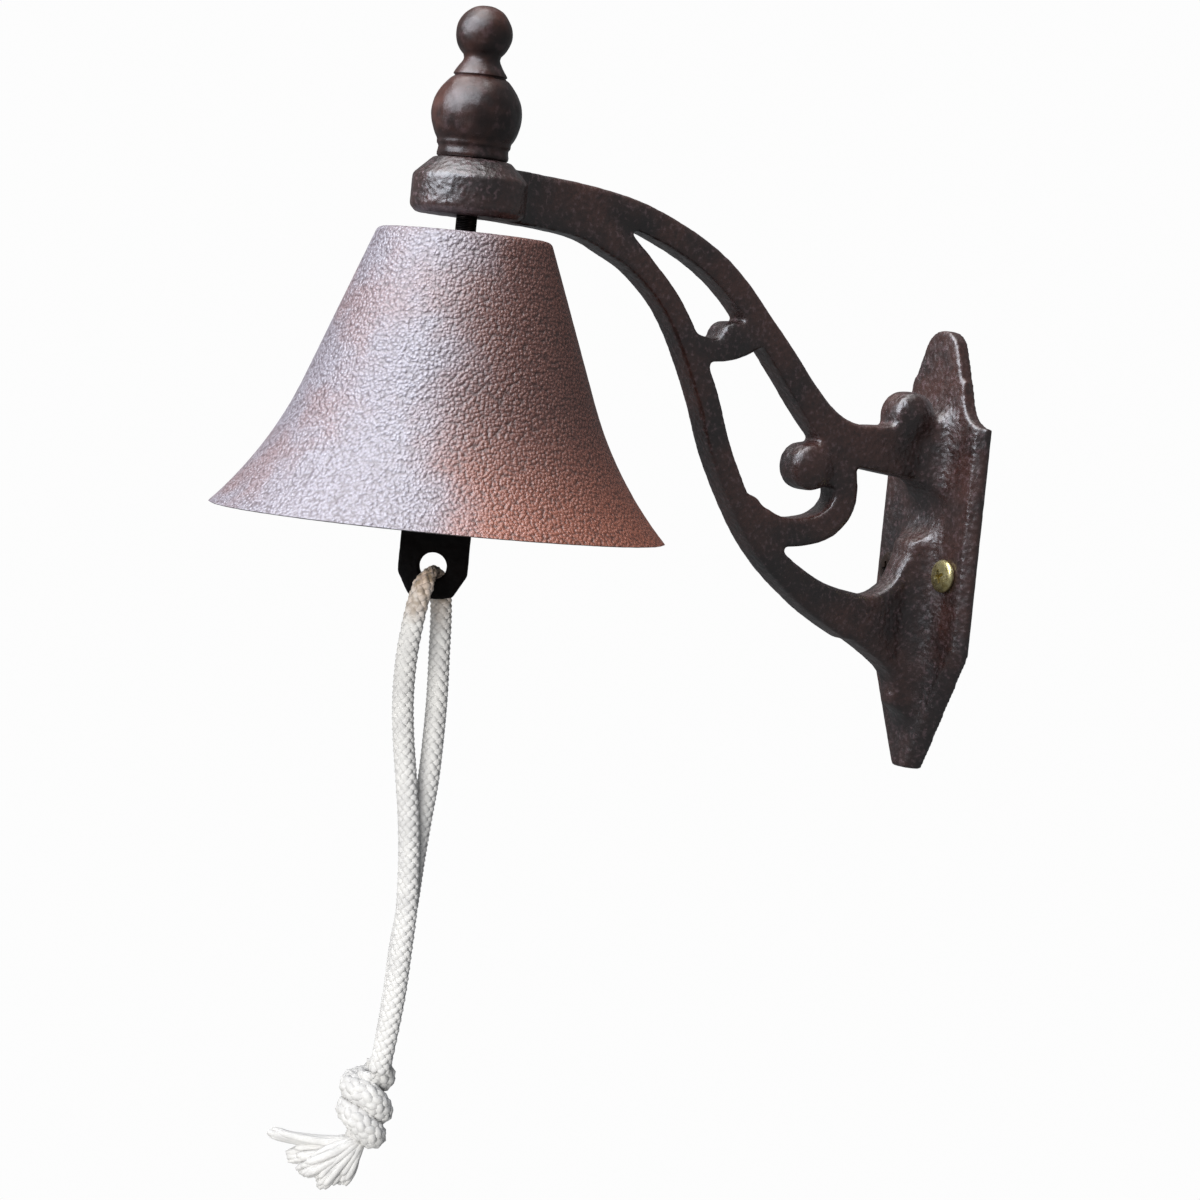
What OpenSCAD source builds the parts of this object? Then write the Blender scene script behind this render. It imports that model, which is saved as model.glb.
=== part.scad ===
// Wall mounted cast bell with a scroll bracket, a turned finial and a rope pull.
// The wall is the plane y = 0 and the bracket reaches out along -Y, with +Z up.
// The origin is the centre of the wall plate's back face. Sizes are in millimetres.

/* [Wall plate] */
// Height of the plate from tip to tip
plate_h = 115; // [95:1:140]
// Width of the plate between its straight edges
plate_w = 39; // [34:1:50]
// Thickness of the plate at its flat face
plate_t = 4; // [3:0.5:6]
// Thickness left at the plate's outer edge
plate_edge_t = 1.6; // [1:0.1:2.5]
// Width of the bevel that runs round the plate
plate_bevel = 2.4; // [1:0.1:3]
// Height of the top taper, from the shoulder to the tip
top_taper_h = 24.4; // [21:0.2:30]
// Height of the bottom taper, from the corner to the tip
bottom_taper_h = 31.5; // [25:0.5:40]
// Radius of the rounded top tip
tip_r = 7.2; // [5:0.1:8]
// Radius of the hollow curve above each top shoulder
ogee_r = 8; // [6:0.5:10]
// Half width of the blunt bottom tip
bottom_tip_w = 5; // [3:0.5:8]

/* [Wall screws] */
// Distance between the two screws
screw_gap = 22; // [18:1:26]
// Height of the screws above the plate's centre
screw_z = -6; // [-8:1:10]
// Diameter of a screw's plain shank, inside the plate
screw_d = 4.2; // [3:0.1:5]
// Diameter of a screw's thread, inside the wall
thread_d = 3.8; // [2.6:0.1:4.6]
// Diameter of a screw's head
screw_head_d = 8.6; // [7:0.2:10]
// Height of a screw's domed head
screw_head_h = 2.2; // [1.5:0.1:3]
// Length of the thread that goes into the wall
screw_grip = 12; // [10:1:40]
// Length of the screw's point
screw_point = 4; // [3:0.5:6]
// Clearance round a shank in its hole
screw_clear = 0.4; // [0.2:0.1:1]

/* [Scroll arm] */
// Distance from the wall to the bell's axis
reach = 151; // [140:1:165]
// Thickness of the arm, side to side
arm_t = 8; // [6:0.5:10]
// Half width of the outer strand
outer_half_w = 3.5; // [2.5:0.1:4.5]
// Half width of the inner strand
inner_half_w = 3.1; // [2.5:0.1:4]
// Half width of the small scroll between the strands
scroll_half_w = 3.7; // [2.5:0.1:4]
// Radius of the scroll's round end
scroll_end_r = 6.2; // [5:0.1:7]
// Radius of the round volute over the upper root
volute_r = 6.4; // [5:0.1:7.5]
// Half width of the bridge between the strands
bridge_half_w = 2.9; // [2:0.1:4]
// Radius of the round knob on the bridge
bridge_knob_r = 4.3; // [3:0.1:5]

/* [Boss] */
// Radius of the round boss that carries the bell
boss_r = 13.8; // [12:0.2:16]
// Height of the boss's underside above the plate's centre
boss_z = 71; // [70:0.5:73]
// Height of the boss's straight wall
boss_wall_h = 9; // [8:0.5:11]
// Height of the boss's sloping top
boss_cone_h = 4.5; // [3:0.5:6]
// Radius of the boss's flat top
boss_top_r = 9.2; // [9:0.1:11]

/* [Finial] */
// Radius of the finial's bulb
bulb_r = 10.8; // [9:0.1:12]
// Radius of the finial's foot
foot_r = 8.6; // [7.5:0.1:9]
// Radius of the finial's neck
neck_r = 4.4; // [3.5:0.1:5]
// Radius of the finial's ball
ball_r = 6.8; // [6:0.1:8]
// Height of the finial from its foot to the ball's top
finial_h = 36.3; // [34:0.1:40]
// Depth of the threaded hole in the finial
finial_hole_h = 16; // [8:1:18]

/* [Hanger] */
// Diameter of the hanger rod
rod_d = 5; // [4:0.5:5.5]
// Radius of the wire of the rod's eye
eye_wire_r = 1.8; // [1.4:0.1:2]
// Radius of the rod's eye, to the middle of its wire
eye_r = 4.2; // [4:0.1:5]
// Width of the nut across its flats
nut_w = 8; // [7:0.5:10]
// Height of the nut
nut_h = 4; // [3:0.5:5]
// Radius of the washer under the crown
washer_r = 6.5; // [5:0.5:9]
// Thickness of the washer
washer_t = 1.2; // [0.8:0.1:2]

/* [Bell] */
// Diameter of the bell's mouth
bell_d = 110; // [100:1:132]
// Height of the bell from its mouth to its crown
bell_h = 69; // [58:0.5:82]
// Radius of the crown's flat top
crown_r = 21.2; // [18:0.1:25]
// Radius where the straight waist meets the flare
waist_r = 34.3; // [30:0.1:38]
// Height of the flare above the mouth
flare_h = 33; // [27:0.5:38]
// Thickness of the bell's wall
bell_wall = 3; // [2.5:0.1:4]
// Thickness of the crown
crown_t = 4; // [3:0.1:6]
// Gap between the boss and the crown
crown_gap = 4; // [3:0.5:6]
// Radius of the rounded crown edge
crown_edge_r = 2; // [1:0.1:3]

/* [Clapper] */
// Radius of the link's wire
link_wire_r = 1.1; // [0.9:0.1:1.3]
// Radius of each ring of the link, to the middle of its wire
link_r = 3.6; // [3.4:0.1:4.2]
// Radius of the clapper's eye, to the middle of its bar
clapper_eye_r = 4; // [3.8:0.1:4.5]
// Radius of the bar of the clapper's eye
clapper_bar_r = 1.8; // [1.4:0.1:2]
// Radius of the clapper's stem
stem_r = 3; // [2.2:0.1:4]
// Radius of the striker
striker_r = 13; // [10:0.5:14]
// Height of the striker's middle above the bell's mouth
striker_z = 15; // [13:0.5:18]
// Width of the tongue
tongue_w = 16.6; // [14:0.1:20]
// Thickness of the tongue
tongue_t = 4.4; // [3.6:0.1:5]
// How far the tongue hangs below the mouth
tongue_drop = 18; // [16:0.5:22]
// Radius of the rope hole
rope_hole_r = 3.3; // [3:0.1:4]
// Height of the rope hole's middle above the tongue's end
rope_hole_z = 7.8; // [6:0.1:10]
// Turn of the clapper and its rope about the bell's axis
hang_turn = 56; // [0:1:90]

/* [Rope] */
// Diameter of the rope
rope_d = 5.2; // [4:0.1:5.4]
// Radius of the rope where the hole's lip squeezes it
rope_squeeze_r = 1.5; // [1.2:0.1:2]
// Half width of the knot
knot_r = 6.4; // [6:0.1:8]
// Height of the knot
knot_h = 19; // [16:0.5:24]

/* [Hidden] */

iron = [0.24, 0.15, 0.13];
iron_light = [0.36, 0.25, 0.23];
steel = [0.35, 0.34, 0.33];
cotton = [0.90, 0.88, 0.84];
brass = [0.80, 0.66, 0.36];

// Room left round threads, turning fits and resting contacts.
thread_clear = 0.05;
turn_clear = 0.08;
rest_clear = 0.1;
// Room under the rope, which spreads again as it leaves its hole.
rope_lift = 0.4;
// Length over which the rope spreads from its squeezed radius to its full one.
rope_spread = 7;
// Facets of round pieces, and steps of a curve between two of its points.
round_fn = 72;
curve_steps = 6;
// A small overshoot for cuts.
cut = 1;

// The arm's points are drawn for this reach and boss height, and stretch to others.
drawn_reach = 151;
drawn_boss_z = 71;

rod_r = rod_d / 2;
bell_r = bell_d / 2;
tip_z = plate_h / 2 - tip_r;
shoulder_z = plate_h / 2 - top_taper_h;
corner_z = bottom_taper_h - plate_h / 2;
boss_top_z = boss_z + boss_wall_h + boss_cone_h;
crown_z = boss_z - crown_gap;
mouth_z = crown_z - bell_h;
washer_z = crown_z - crown_t - rest_clear - washer_t;
nut_z = washer_z - nut_h;
eye_z = nut_z - eye_wire_r - eye_r - 1;
// Heights of the wires that hang in each other, from the rod's eye down.
link_top_z = eye_z - eye_r + eye_wire_r + link_wire_r + rest_clear;
link_bottom_z = link_top_z - 4 * link_r;
clapper_eye_z = link_bottom_z + link_wire_r + rest_clear + clapper_bar_r - clapper_eye_r;
striker_mid_z = mouth_z + striker_z;
tongue_end_z = mouth_z - tongue_drop;
hole_z = tongue_end_z + rope_hole_z;
// The rope lies in the lower half of its hole.
rope_z = hole_z - rope_hole_r + rope_squeeze_r + rope_lift;

// ---- curves ----

// A smooth curve through four neighbouring points, t from 0 at b to 1 at c.
function curve_at(a, b, c, d, t) =
    0.5 * (2 * b + (c - a) * t + (2 * a - 5 * b + 4 * c - d) * t * t
           + (3 * b - 3 * c + d - a) * t * t * t);

// A smooth curve through every point of a list.
function smooth(p, steps) = [
    for (i = [0 : len(p) - 2], k = [0 : steps - 1])
        curve_at(p[max(i - 1, 0)], p[i], p[i + 1], p[min(i + 2, len(p) - 1)], k / steps),
    p[len(p) - 1]
];

// An arc about a centre, from angle a0 to a1.
function arc(centre, r, a0, a1, steps) = [
    for (k = [0 : steps]) let (a = a0 + (a1 - a0) * k / steps)
        centre + r * [cos(a), sin(a)]
];

function unit(v) = v / norm(v);

// The direction of travel at point i of a path.
function heading(p, i) = unit(p[min(i + 1, len(p) - 1)] - p[max(i - 1, 0)]);

// A point of the arm, given as distance from the wall and height.
function at(q) = [q.x * reach / drawn_reach, q.y + (boss_z - drawn_boss_z) * q.x / drawn_reach];

// A strand: a bar of changing half width along [distance, height, half width] points.
module strand(points) {
    path = smooth(points, curve_steps);
    mid = [for (q = path) at(q)];
    side = [for (i = [0 : len(mid) - 1]) let (h = heading(mid, i)) [-h.y, h.x] * path[i].z];
    last = len(mid) - 1;
    linear_extrude(arm_t)
        polygon(concat([for (i = [0 : last]) mid[i] + side[i]],
                       [for (i = [0 : last]) mid[last - i] - side[last - i]]));
}

// A round end, volute or knob of the arm.
module knob(q, r) {
    translate(at(q)) cylinder(r = r, h = arm_t, $fn = round_fn);
}

// ---- bracket casting ----

// The plate's outline in X and Z, anticlockwise from the bottom tip.
plate_half = concat(
    [[bottom_tip_w, -plate_h / 2], [bottom_tip_w + 1, 2 - plate_h / 2], [plate_w / 2, corner_z]],
    arc([plate_w / 2, shoulder_z + ogee_r], ogee_r, -90, -165, 6),
    arc([0, tip_z], tip_r, 14, 90, 7));
plate_outline = concat(plate_half,
    [for (i = [len(plate_half) - 2 : -1 : 0]) [-plate_half[i].x, plate_half[i].y]]);

// A tilted block that bevels the front of the plate along the edge from p to q.
module edge_bevel(p, q) {
    along = q - p;
    translate([p.x, -plate_edge_t, p.y])
        rotate([0, -atan2(along.y, along.x), 0])
            rotate([-atan(plate_bevel / (plate_t - plate_edge_t)), 0, 0])
                translate([-plate_w, -plate_w, -plate_w])
                    cube([norm(along) + 2 * plate_w, plate_w, plate_w]);
}

// A pointed plate with a straight edge at the wall and bevels along its front edges.
module wall_plate() {
    corner = [plate_w / 2, corner_z];
    color(iron)
    difference() {
        rotate([90, 0, 0]) linear_extrude(plate_t) polygon(plate_outline);
        for (side = [-1, 1]) {
            mirror([side < 0 ? 1 : 0, 0, 0]) {
                edge_bevel(corner, [plate_w / 2, shoulder_z]);
                edge_bevel([bottom_tip_w + 1, 2 - plate_h / 2], corner);
            }
            translate([side * screw_gap / 2, cut, screw_z])
                rotate([90, 0, 0])
                    cylinder(r = screw_d / 2 + screw_clear, h = plate_t + 2 * cut, $fn = round_fn);
        }
    }
}

// The arm lies flat: distance from the wall along X, height along Y, thickness along Z.
module arm_bars() {
    // Outer strand, from the boss over the shoulder to the plate.
    strand([[147, 80, 3.6], [119, 78.6, 3.6], [99, 75, outer_half_w],
            [78, 65.6, outer_half_w], [60.3, 49.8, outer_half_w], [43.6, 32.8, outer_half_w + 0.5],
            [33, 26.3, 5.2], [21, 25.2, 6.2], [0, 25, 8]]);
    // Inner strand, from the boss down to the lower root.
    strand([[147, 74.2, 3.2], [122, 72.8, 3.4], [110, 69.6, inner_half_w + 1],
            [101, 64, inner_half_w], [90, 53.6, inner_half_w - 0.2], [79.4, 36, inner_half_w],
            [71.6, 18.8, inner_half_w], [58, -0.8, inner_half_w],
            [40.4, -13.2, inner_half_w + 1.2], [25, -18.8, 6.4]]);
    // The lower root spreads down the plate.
    root_top = [[28, -12.6], [20, -12.4], [14, -8.5], [10, -1], [0, 6]];
    root_bottom = [[0, -45.5], [7.6, -39], [13, -32], [22, -26.4], [29, -22.9]];
    linear_extrude(arm_t)
        polygon([for (q = concat(smooth(root_top, curve_steps), smooth(root_bottom, curve_steps)))
                 at(q)]);
    // The small scroll curls down from the outer strand and runs into the inner one.
    strand([[38, 26, 4.6], [33.2, 17.5, scroll_half_w], [33, 10, scroll_half_w],
            [37.5, 4.8, scroll_half_w], [45, 2.4, scroll_half_w], [53, 2.4, scroll_half_w],
            [60, 6, inner_half_w]]);
    knob([44, 19.2], scroll_end_r);
    knob([39.4, 18.8], 4.6);
    // The volute stands over the upper root.
    knob([13, 34.4], volute_r);
    // The bridge ties the strands together under the slot.
    strand([[84, 46.6, bridge_half_w], [76, 46, bridge_half_w], [69, 48.6, bridge_half_w + 0.5],
            [63, 53, bridge_half_w + 0.5]]);
    knob([72.4, 49.4], bridge_knob_r);
}

module boss_solid() {
    translate([0, -reach, boss_z])
        rotate_extrude($fn = round_fn)
            polygon([[0, 0], [boss_r - 1.5, 0], [boss_r, 1.5], [boss_r, boss_wall_h],
                     [boss_top_r, boss_wall_h + boss_cone_h], [0, boss_wall_h + boss_cone_h]]);
}

module scroll_arm() {
    color(iron)
    difference() {
        // Stood up, it reaches out along -Y with its thickness along X.
        translate([arm_t / 2, 0, 0])
            rotate([90, 0, -90]) arm_bars();
        translate([-plate_w, -plate_t, -plate_h])
            cube([2 * plate_w, plate_t + cut, 2 * plate_h]);
        boss_solid();
    }
}

module arm_boss() {
    color(iron_light)
    difference() {
        boss_solid();
        translate([0, -reach, boss_z - cut])
            cylinder(r = rod_r + thread_clear, h = boss_wall_h + boss_cone_h + 2 * cut,
                     $fn = round_fn);
    }
}

// ---- hanger ----

// A turned finial with a bulb, a grooved collar, a neck and a ball.
module finial() {
    ball_z = finial_h - ball_r;
    ball_join = asin(neck_r / ball_r) - 90;
    bulb_z = 10.7;
    collar_z = 19;
    color(iron)
    translate([0, -reach, boss_top_z])
    difference() {
        rotate_extrude($fn = round_fn)
            polygon(concat(
                [[0, 0], [foot_r, 0]],
                smooth([[foot_r - 0.3, 1.2], [foot_r + 0.2, 3.6], [bulb_r - 0.5, 7.4],
                        [bulb_r, bulb_z], [bulb_r - 1.3, 15], [bulb_r - 4.1, collar_z]], 4),
                [[bulb_r - 4.5, collar_z + 0.3], [bulb_r - 4.4, collar_z + 0.7],
                 [neck_r + 0.4, collar_z + 3.2], [neck_r, collar_z + 4]],
                arc([0, ball_z], ball_r, ball_join, 90, 18)));
        translate([0, 0, -cut])
            cylinder(r = rod_r + thread_clear, h = finial_hole_h + cut, $fn = round_fn);
    }
}

// A ring of round wire in the plane whose normal is +X.
module ring(r, wire_r) {
    rotate([0, 90, 0])
        rotate_extrude($fn = round_fn)
            translate([r, 0]) circle(r = wire_r, $fn = 32);
}

// The rod screws through the boss into the finial, and ends in an eye.
module hanger_rod() {
    top_z = boss_top_z + finial_hole_h - 1;
    color(steel)
    translate([0, -reach, 0]) {
        translate([0, 0, eye_z + eye_r])
            cylinder(r = rod_r, h = top_z - eye_z - eye_r, $fn = round_fn);
        translate([0, 0, eye_z])
            rotate([0, 0, hang_turn]) ring(eye_r, eye_wire_r);
    }
}

module crown_washer() {
    color(steel)
    translate([0, -reach, washer_z])
    difference() {
        cylinder(r = washer_r, h = washer_t, $fn = round_fn);
        translate([0, 0, -cut])
            cylinder(r = rod_r + turn_clear, h = washer_t + 2 * cut, $fn = round_fn);
    }
}

module hanger_nut() {
    color(steel)
    translate([0, -reach, nut_z])
    difference() {
        cylinder(r = nut_w / sqrt(3), h = nut_h, $fn = 6);
        translate([0, 0, -cut])
            cylinder(r = rod_r + thread_clear, h = nut_h + 2 * cut, $fn = round_fn);
    }
}

// ---- bell ----

// The flare is an arc that leaves the straight waist smoothly and ends at the lip.
waist = [waist_r, flare_h];
lip = [bell_r, 0];
waist_tilt = atan((waist_r - crown_r) / (bell_h - flare_h));
waist_normal = [cos(waist_tilt), sin(waist_tilt)];
flare_r = pow(norm(lip - waist), 2) / (2 * (lip - waist) * waist_normal);
flare_centre = waist + flare_r * waist_normal;
// Both faces of the wall end level at the mouth.
lip_angle = 180 + asin(flare_centre.y / flare_r);
inner_lip_angle = 180 + asin(flare_centre.y / (flare_r + bell_wall));

module bell() {
    ceiling = bell_h - crown_t;
    // The inside of the waist, wall thickness in from the outside.
    inner_top = waist - bell_wall * waist_normal
        + (ceiling - flare_h + bell_wall * waist_normal.y) * [-tan(waist_tilt), 1];
    color(iron_light)
    translate([0, -reach, mouth_z])
    rotate_extrude($fn = 120)
        polygon(concat(
            arc(flare_centre, flare_r, lip_angle, 180 + waist_tilt, 14),
            arc([crown_r - crown_edge_r, bell_h - crown_edge_r], crown_edge_r, waist_tilt, 90, 5),
            [[rod_r + turn_clear, bell_h], [rod_r + turn_clear, ceiling], inner_top],
            arc(flare_centre, flare_r + bell_wall, 180 + waist_tilt, inner_lip_angle, 14)));
}

// ---- clapper ----

// Everything that hangs in the bell is drawn about its axis and turned with the rope hole.
module hung() {
    translate([0, -reach, 0]) rotate([0, 0, hang_turn]) children();
}

// Two rings at right angles let the clapper swing every way.
module clapper_link() {
    color(steel)
    hung() {
        translate([0, 0, link_top_z - link_r]) rotate([0, 0, 90]) ring(link_r, link_wire_r);
        translate([0, 0, link_bottom_z + link_r]) ring(link_r, link_wire_r);
    }
}

// A cast clapper: eye, stem, striker and a flat tongue with the rope hole.
module clapper() {
    stem_top_z = clapper_eye_z - clapper_eye_r;
    tongue_top_z = striker_mid_z - striker_r * 0.6;
    clip = 3;
    color(iron)
    hung()
    difference() {
        union() {
            translate([0, 0, clapper_eye_z]) rotate([0, 0, 90]) ring(clapper_eye_r, clapper_bar_r);
            translate([0, 0, striker_mid_z]) {
                cylinder(r1 = stem_r + 1.2, r2 = stem_r - 0.6, h = stem_top_z - striker_mid_z,
                         $fn = round_fn);
                sphere(r = striker_r, $fn = round_fn);
            }
            translate([0, tongue_t / 2, 0])
                rotate([90, 0, 0])
                    linear_extrude(tongue_t)
                        polygon([[-tongue_w / 2, tongue_top_z],
                                 [-tongue_w / 2, tongue_end_z + 2 * clip],
                                 [-tongue_w / 2 + clip, tongue_end_z + 0.7],
                                 [-2, tongue_end_z], [2, tongue_end_z],
                                 [tongue_w / 2 - clip, tongue_end_z + 0.7],
                                 [tongue_w / 2, tongue_end_z + 2 * clip],
                                 [tongue_w / 2, tongue_top_z]]);
        }
        translate([0, tongue_t, hole_z])
            rotate([90, 0, 0]) cylinder(r = rope_hole_r, h = 2 * tongue_t, $fn = round_fn);
    }
}

// ---- rope ----

// Route of each strand from the middle of the hole: across, outwards and down from it.
front_route = [[0, 0, 0], [-0.2, -2.6, -0.1], [-1, -4.9, -1.6], [-2, -6, -5], [-3, -5.8, -11],
               [-3.9, -4.9, -20], [-3.9, -4, -30], [-2.9, -3.3, -40], [-1.3, -2.9, -50],
               [0.2, -2.8, -60], [1.2, -2.8, -70], [1.7, -2.8, -81], [1.4, -2.8, -91],
               [0.9, -2.9, -102], [-0.2, -2.9, -113], [-1.2, -2.8, -120.5]];
rear_route = [[0, 0, 0], [0.2, 2.6, -0.1], [1, 4.9, -1.6], [2, 6, -5], [2.7, 5.8, -11],
              [3.2, 4.9, -20], [3.7, 4, -30], [3.8, 3.3, -40], [3.6, 2.9, -50],
              [2.8, 2.8, -60], [2.1, 2.8, -70], [1.5, 2.8, -81], [0.6, 2.8, -91],
              [0.2, 2.9, -102], [-0.6, 2.9, -113], [-1.2, 2.8, -120.5]];

// A tube swept along a route: rings of points joined by walls, with flat ends.
module swept_tube(route, r, squeeze_r, squeeze_length) {
    sides = 10;
    path = smooth(route, 2);
    last = len(path) - 1;
    rings = [for (i = [0 : last])
        let (h = heading(path, i), u = unit(cross(h, [1, 0.2, 0])), v = cross(h, u),
             grow = min(1, norm(path[i] - path[0]) / squeeze_length),
             ring_r = squeeze_r + (r - squeeze_r) * grow * grow)
        for (k = [0 : sides - 1]) let (a = 360 * k / sides)
            path[i] + ring_r * (cos(a) * u + sin(a) * v)];
    polyhedron(rings, concat(
        [[for (k = [sides - 1 : -1 : 0]) k]],
        [[for (k = [0 : sides - 1]) last * sides + k]],
        [for (i = [0 : last - 1], k = [0 : sides - 1]) let (n = (k + 1) % sides)
            [i * sides + k, i * sides + n, (i + 1) * sides + n, (i + 1) * sides + k]]));
}

module rope_strand(route) {
    color(cotton)
    hung()
        translate([0, 0, rope_z]) swept_tube(route, rope_d / 2, rope_squeeze_r, rope_spread);
}

module rope_front() {
    rope_strand(front_route);
}

module rope_rear() {
    rope_strand(rear_route);
}

// The knot gathers both strands under their last points.
knot_mid = [-2, 0, rope_z - 120.5 - knot_h / 2];

module rope_knot() {
    color(cotton)
    hung()
        translate(knot_mid)
            rotate_extrude($fn = 48)
                polygon(concat([[0, -knot_h / 2]],
                    smooth([[knot_r * 0.6, -knot_h / 2], [knot_r, -knot_h / 4], [knot_r, knot_h / 5],
                            [knot_r * 0.7, knot_h / 2]], 4),
                    [[0, knot_h / 2]]));
}

// The frayed ends fan out to one side under the knot.
module rope_tassel() {
    fan = [[-2, 0, -knot_h / 2 - 2], [-23, -3, -knot_h / 2 + 2], [-21, 3, -knot_h / 2 - 6],
           [-12, -4, -knot_h / 2 - 13], [-10, 4, -knot_h / 2 - 13]];
    color(cotton)
    hung()
        translate(knot_mid)
            difference() {
                hull() for (p = fan) translate(p) sphere(r = 2, $fn = 16);
                cylinder(r = knot_r + 6, h = knot_h, center = true, $fn = 24);
            }
}

// ---- wall screws ----

module screw() {
    head_r = screw_head_d / 2;
    // The domed head is a cap of a larger sphere.
    dome = (head_r * head_r + screw_head_h * screw_head_h) / (2 * screw_head_h);
    slot_w = 1;
    slot_l = head_r * 1.1;
    slot_h = 1.4;
    rotate([90, 0, 0]) {
        difference() {
            rotate_extrude($fn = round_fn)
                polygon(concat([[0, 0], [head_r, 0]],
                    arc([0, screw_head_h - dome], dome, asin((dome - screw_head_h) / dome), 90, 8)));
            for (turn = [20, 110])
                rotate([0, 0, turn])
                    translate([-slot_l / 2, -slot_w / 2, screw_head_h - slot_h])
                        cube([slot_l, slot_w, slot_h + cut]);
        }
        translate([0, 0, -plate_t])
            cylinder(r = screw_d / 2, h = plate_t, $fn = round_fn);
        translate([0, 0, -plate_t - screw_grip])
            cylinder(r = thread_d / 2, h = screw_grip, $fn = round_fn);
        translate([0, 0, -plate_t - screw_grip - screw_point])
            cylinder(r1 = 0.3, r2 = thread_d / 2, h = screw_point, $fn = round_fn);
    }
}

module wall_screws() {
    color(brass)
    for (side = [-1, 1])
        translate([side * screw_gap / 2, -plate_t, screw_z]) screw();
}

wall_plate();
scroll_arm();
arm_boss();
finial();
hanger_rod();
crown_washer();
hanger_nut();
bell();
clapper_link();
clapper();
rope_front();
rope_rear();
rope_knot();
rope_tassel();
wall_screws();
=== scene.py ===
import math

import bpy
import numpy as np
from mathutils import Matrix, Vector


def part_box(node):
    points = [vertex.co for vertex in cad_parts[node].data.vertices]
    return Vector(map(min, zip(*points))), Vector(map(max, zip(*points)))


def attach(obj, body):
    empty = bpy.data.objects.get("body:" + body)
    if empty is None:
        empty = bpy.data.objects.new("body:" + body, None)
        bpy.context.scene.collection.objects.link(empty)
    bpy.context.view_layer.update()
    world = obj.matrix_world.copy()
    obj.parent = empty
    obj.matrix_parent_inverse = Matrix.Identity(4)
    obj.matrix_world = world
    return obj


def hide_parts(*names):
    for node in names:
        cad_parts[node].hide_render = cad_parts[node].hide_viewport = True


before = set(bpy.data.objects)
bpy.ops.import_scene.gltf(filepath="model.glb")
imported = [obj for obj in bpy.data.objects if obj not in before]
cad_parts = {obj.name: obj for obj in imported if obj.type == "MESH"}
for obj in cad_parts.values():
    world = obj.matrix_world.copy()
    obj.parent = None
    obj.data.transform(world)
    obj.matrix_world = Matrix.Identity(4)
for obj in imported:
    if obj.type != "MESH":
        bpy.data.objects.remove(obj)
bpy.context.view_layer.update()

# ---------------------------------------------------------------------------
# Bracket casting
# One iron sand casting holds the bell off the wall: a pointed wall plate, an
# arm of two strands with small scrolls, and a round boss. Its edges come out of
# the sand rounded, its corners are filleted, and it is waxed dark brown.
# ---------------------------------------------------------------------------
MM = 0.001
boss_low, boss_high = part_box("arm_boss")
bell_axis = Vector(((boss_low.x + boss_high.x) / 2, (boss_low.y + boss_high.y) / 2, 0))


def select_only(*objects):
    """Deselects everything, then selects these objects, the last one active."""
    bpy.ops.object.select_all(action="DESELECT")
    for piece in objects:
        piece.select_set(True)
    bpy.context.view_layer.objects.active = objects[-1]


def apply_modifier(piece, kind, **settings):
    """Adds one modifier with these settings and applies it."""
    select_only(piece)
    modifier = piece.modifiers.new(kind.lower(), kind)
    for name, value in settings.items():
        setattr(modifier, name, value)
    bpy.ops.object.modifier_apply(modifier=modifier.name)


def cast_copy(name, *nodes):
    """Joins copies of CAD nodes into one new piece, with their doubles merged."""
    copies = []
    for node in nodes:
        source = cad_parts[node]
        copy = bpy.data.objects.new(name, source.data.copy())
        copy.data.materials.clear()
        bpy.context.scene.collection.objects.link(copy)
        select_only(copy)
        bpy.ops.object.mode_set(mode="EDIT")
        bpy.ops.mesh.select_all(action="SELECT")
        bpy.ops.mesh.remove_doubles(threshold=1e-6)
        bpy.ops.object.mode_set(mode="OBJECT")
        copies.append(copy)
    select_only(*copies)
    if len(copies) > 1:
        bpy.ops.object.join()
    piece = bpy.context.view_layer.objects.active
    piece.name = name
    return piece


def fuse(piece, voxel):
    """Melts a piece's parts into one skin on a fine grid."""
    apply_modifier(piece, "REMESH", mode="VOXEL", voxel_size=voxel, adaptivity=0.0)


def points_of(piece):
    """A piece's points, as rows of x, y and z."""
    flat = np.zeros(len(piece.data.vertices) * 3)
    piece.data.vertices.foreach_get("co", flat)
    return flat.reshape(-1, 3)


def move_points(piece, points):
    """Puts a piece's points at these places."""
    piece.data.vertices.foreach_set("co", points.ravel())


def round_off(piece, rounds, zone=""):
    """Rounds edges and corners, all over or in one vertex group."""
    apply_modifier(piece, "SMOOTH", factor=0.5, iterations=rounds, vertex_group=zone)


def cast_skin(piece, depth, grain):
    """Roughens a surface along its normals, as sand leaves it."""
    skin = bpy.data.textures.new(piece.name + "_sand", "CLOUDS")
    skin.noise_scale = grain
    skin.noise_depth = 2
    skin.noise_basis = "ORIGINAL_PERLIN"
    apply_modifier(piece, "DISPLACE", texture=skin, texture_coords="LOCAL",
                   strength=depth, mid_level=0.62)


class Sock:
    """One shader socket. Python operators on it add Math nodes."""

    def __init__(self, maker, socket):
        self.maker, self.socket = maker, socket

    def _math(self, operation, a, b):
        node = self.maker.node("ShaderNodeMath", dict(operation=operation), {0: a, 1: b})
        return Sock(self.maker, node.outputs[0])

    def __add__(self, other):
        return self._math("ADD", self, other)

    __radd__ = __add__

    def __sub__(self, other):
        return self._math("SUBTRACT", self, other)

    def __rsub__(self, other):
        return self._math("SUBTRACT", other, self)

    def __mul__(self, other):
        return self._math("MULTIPLY", self, other)

    __rmul__ = __mul__


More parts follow.
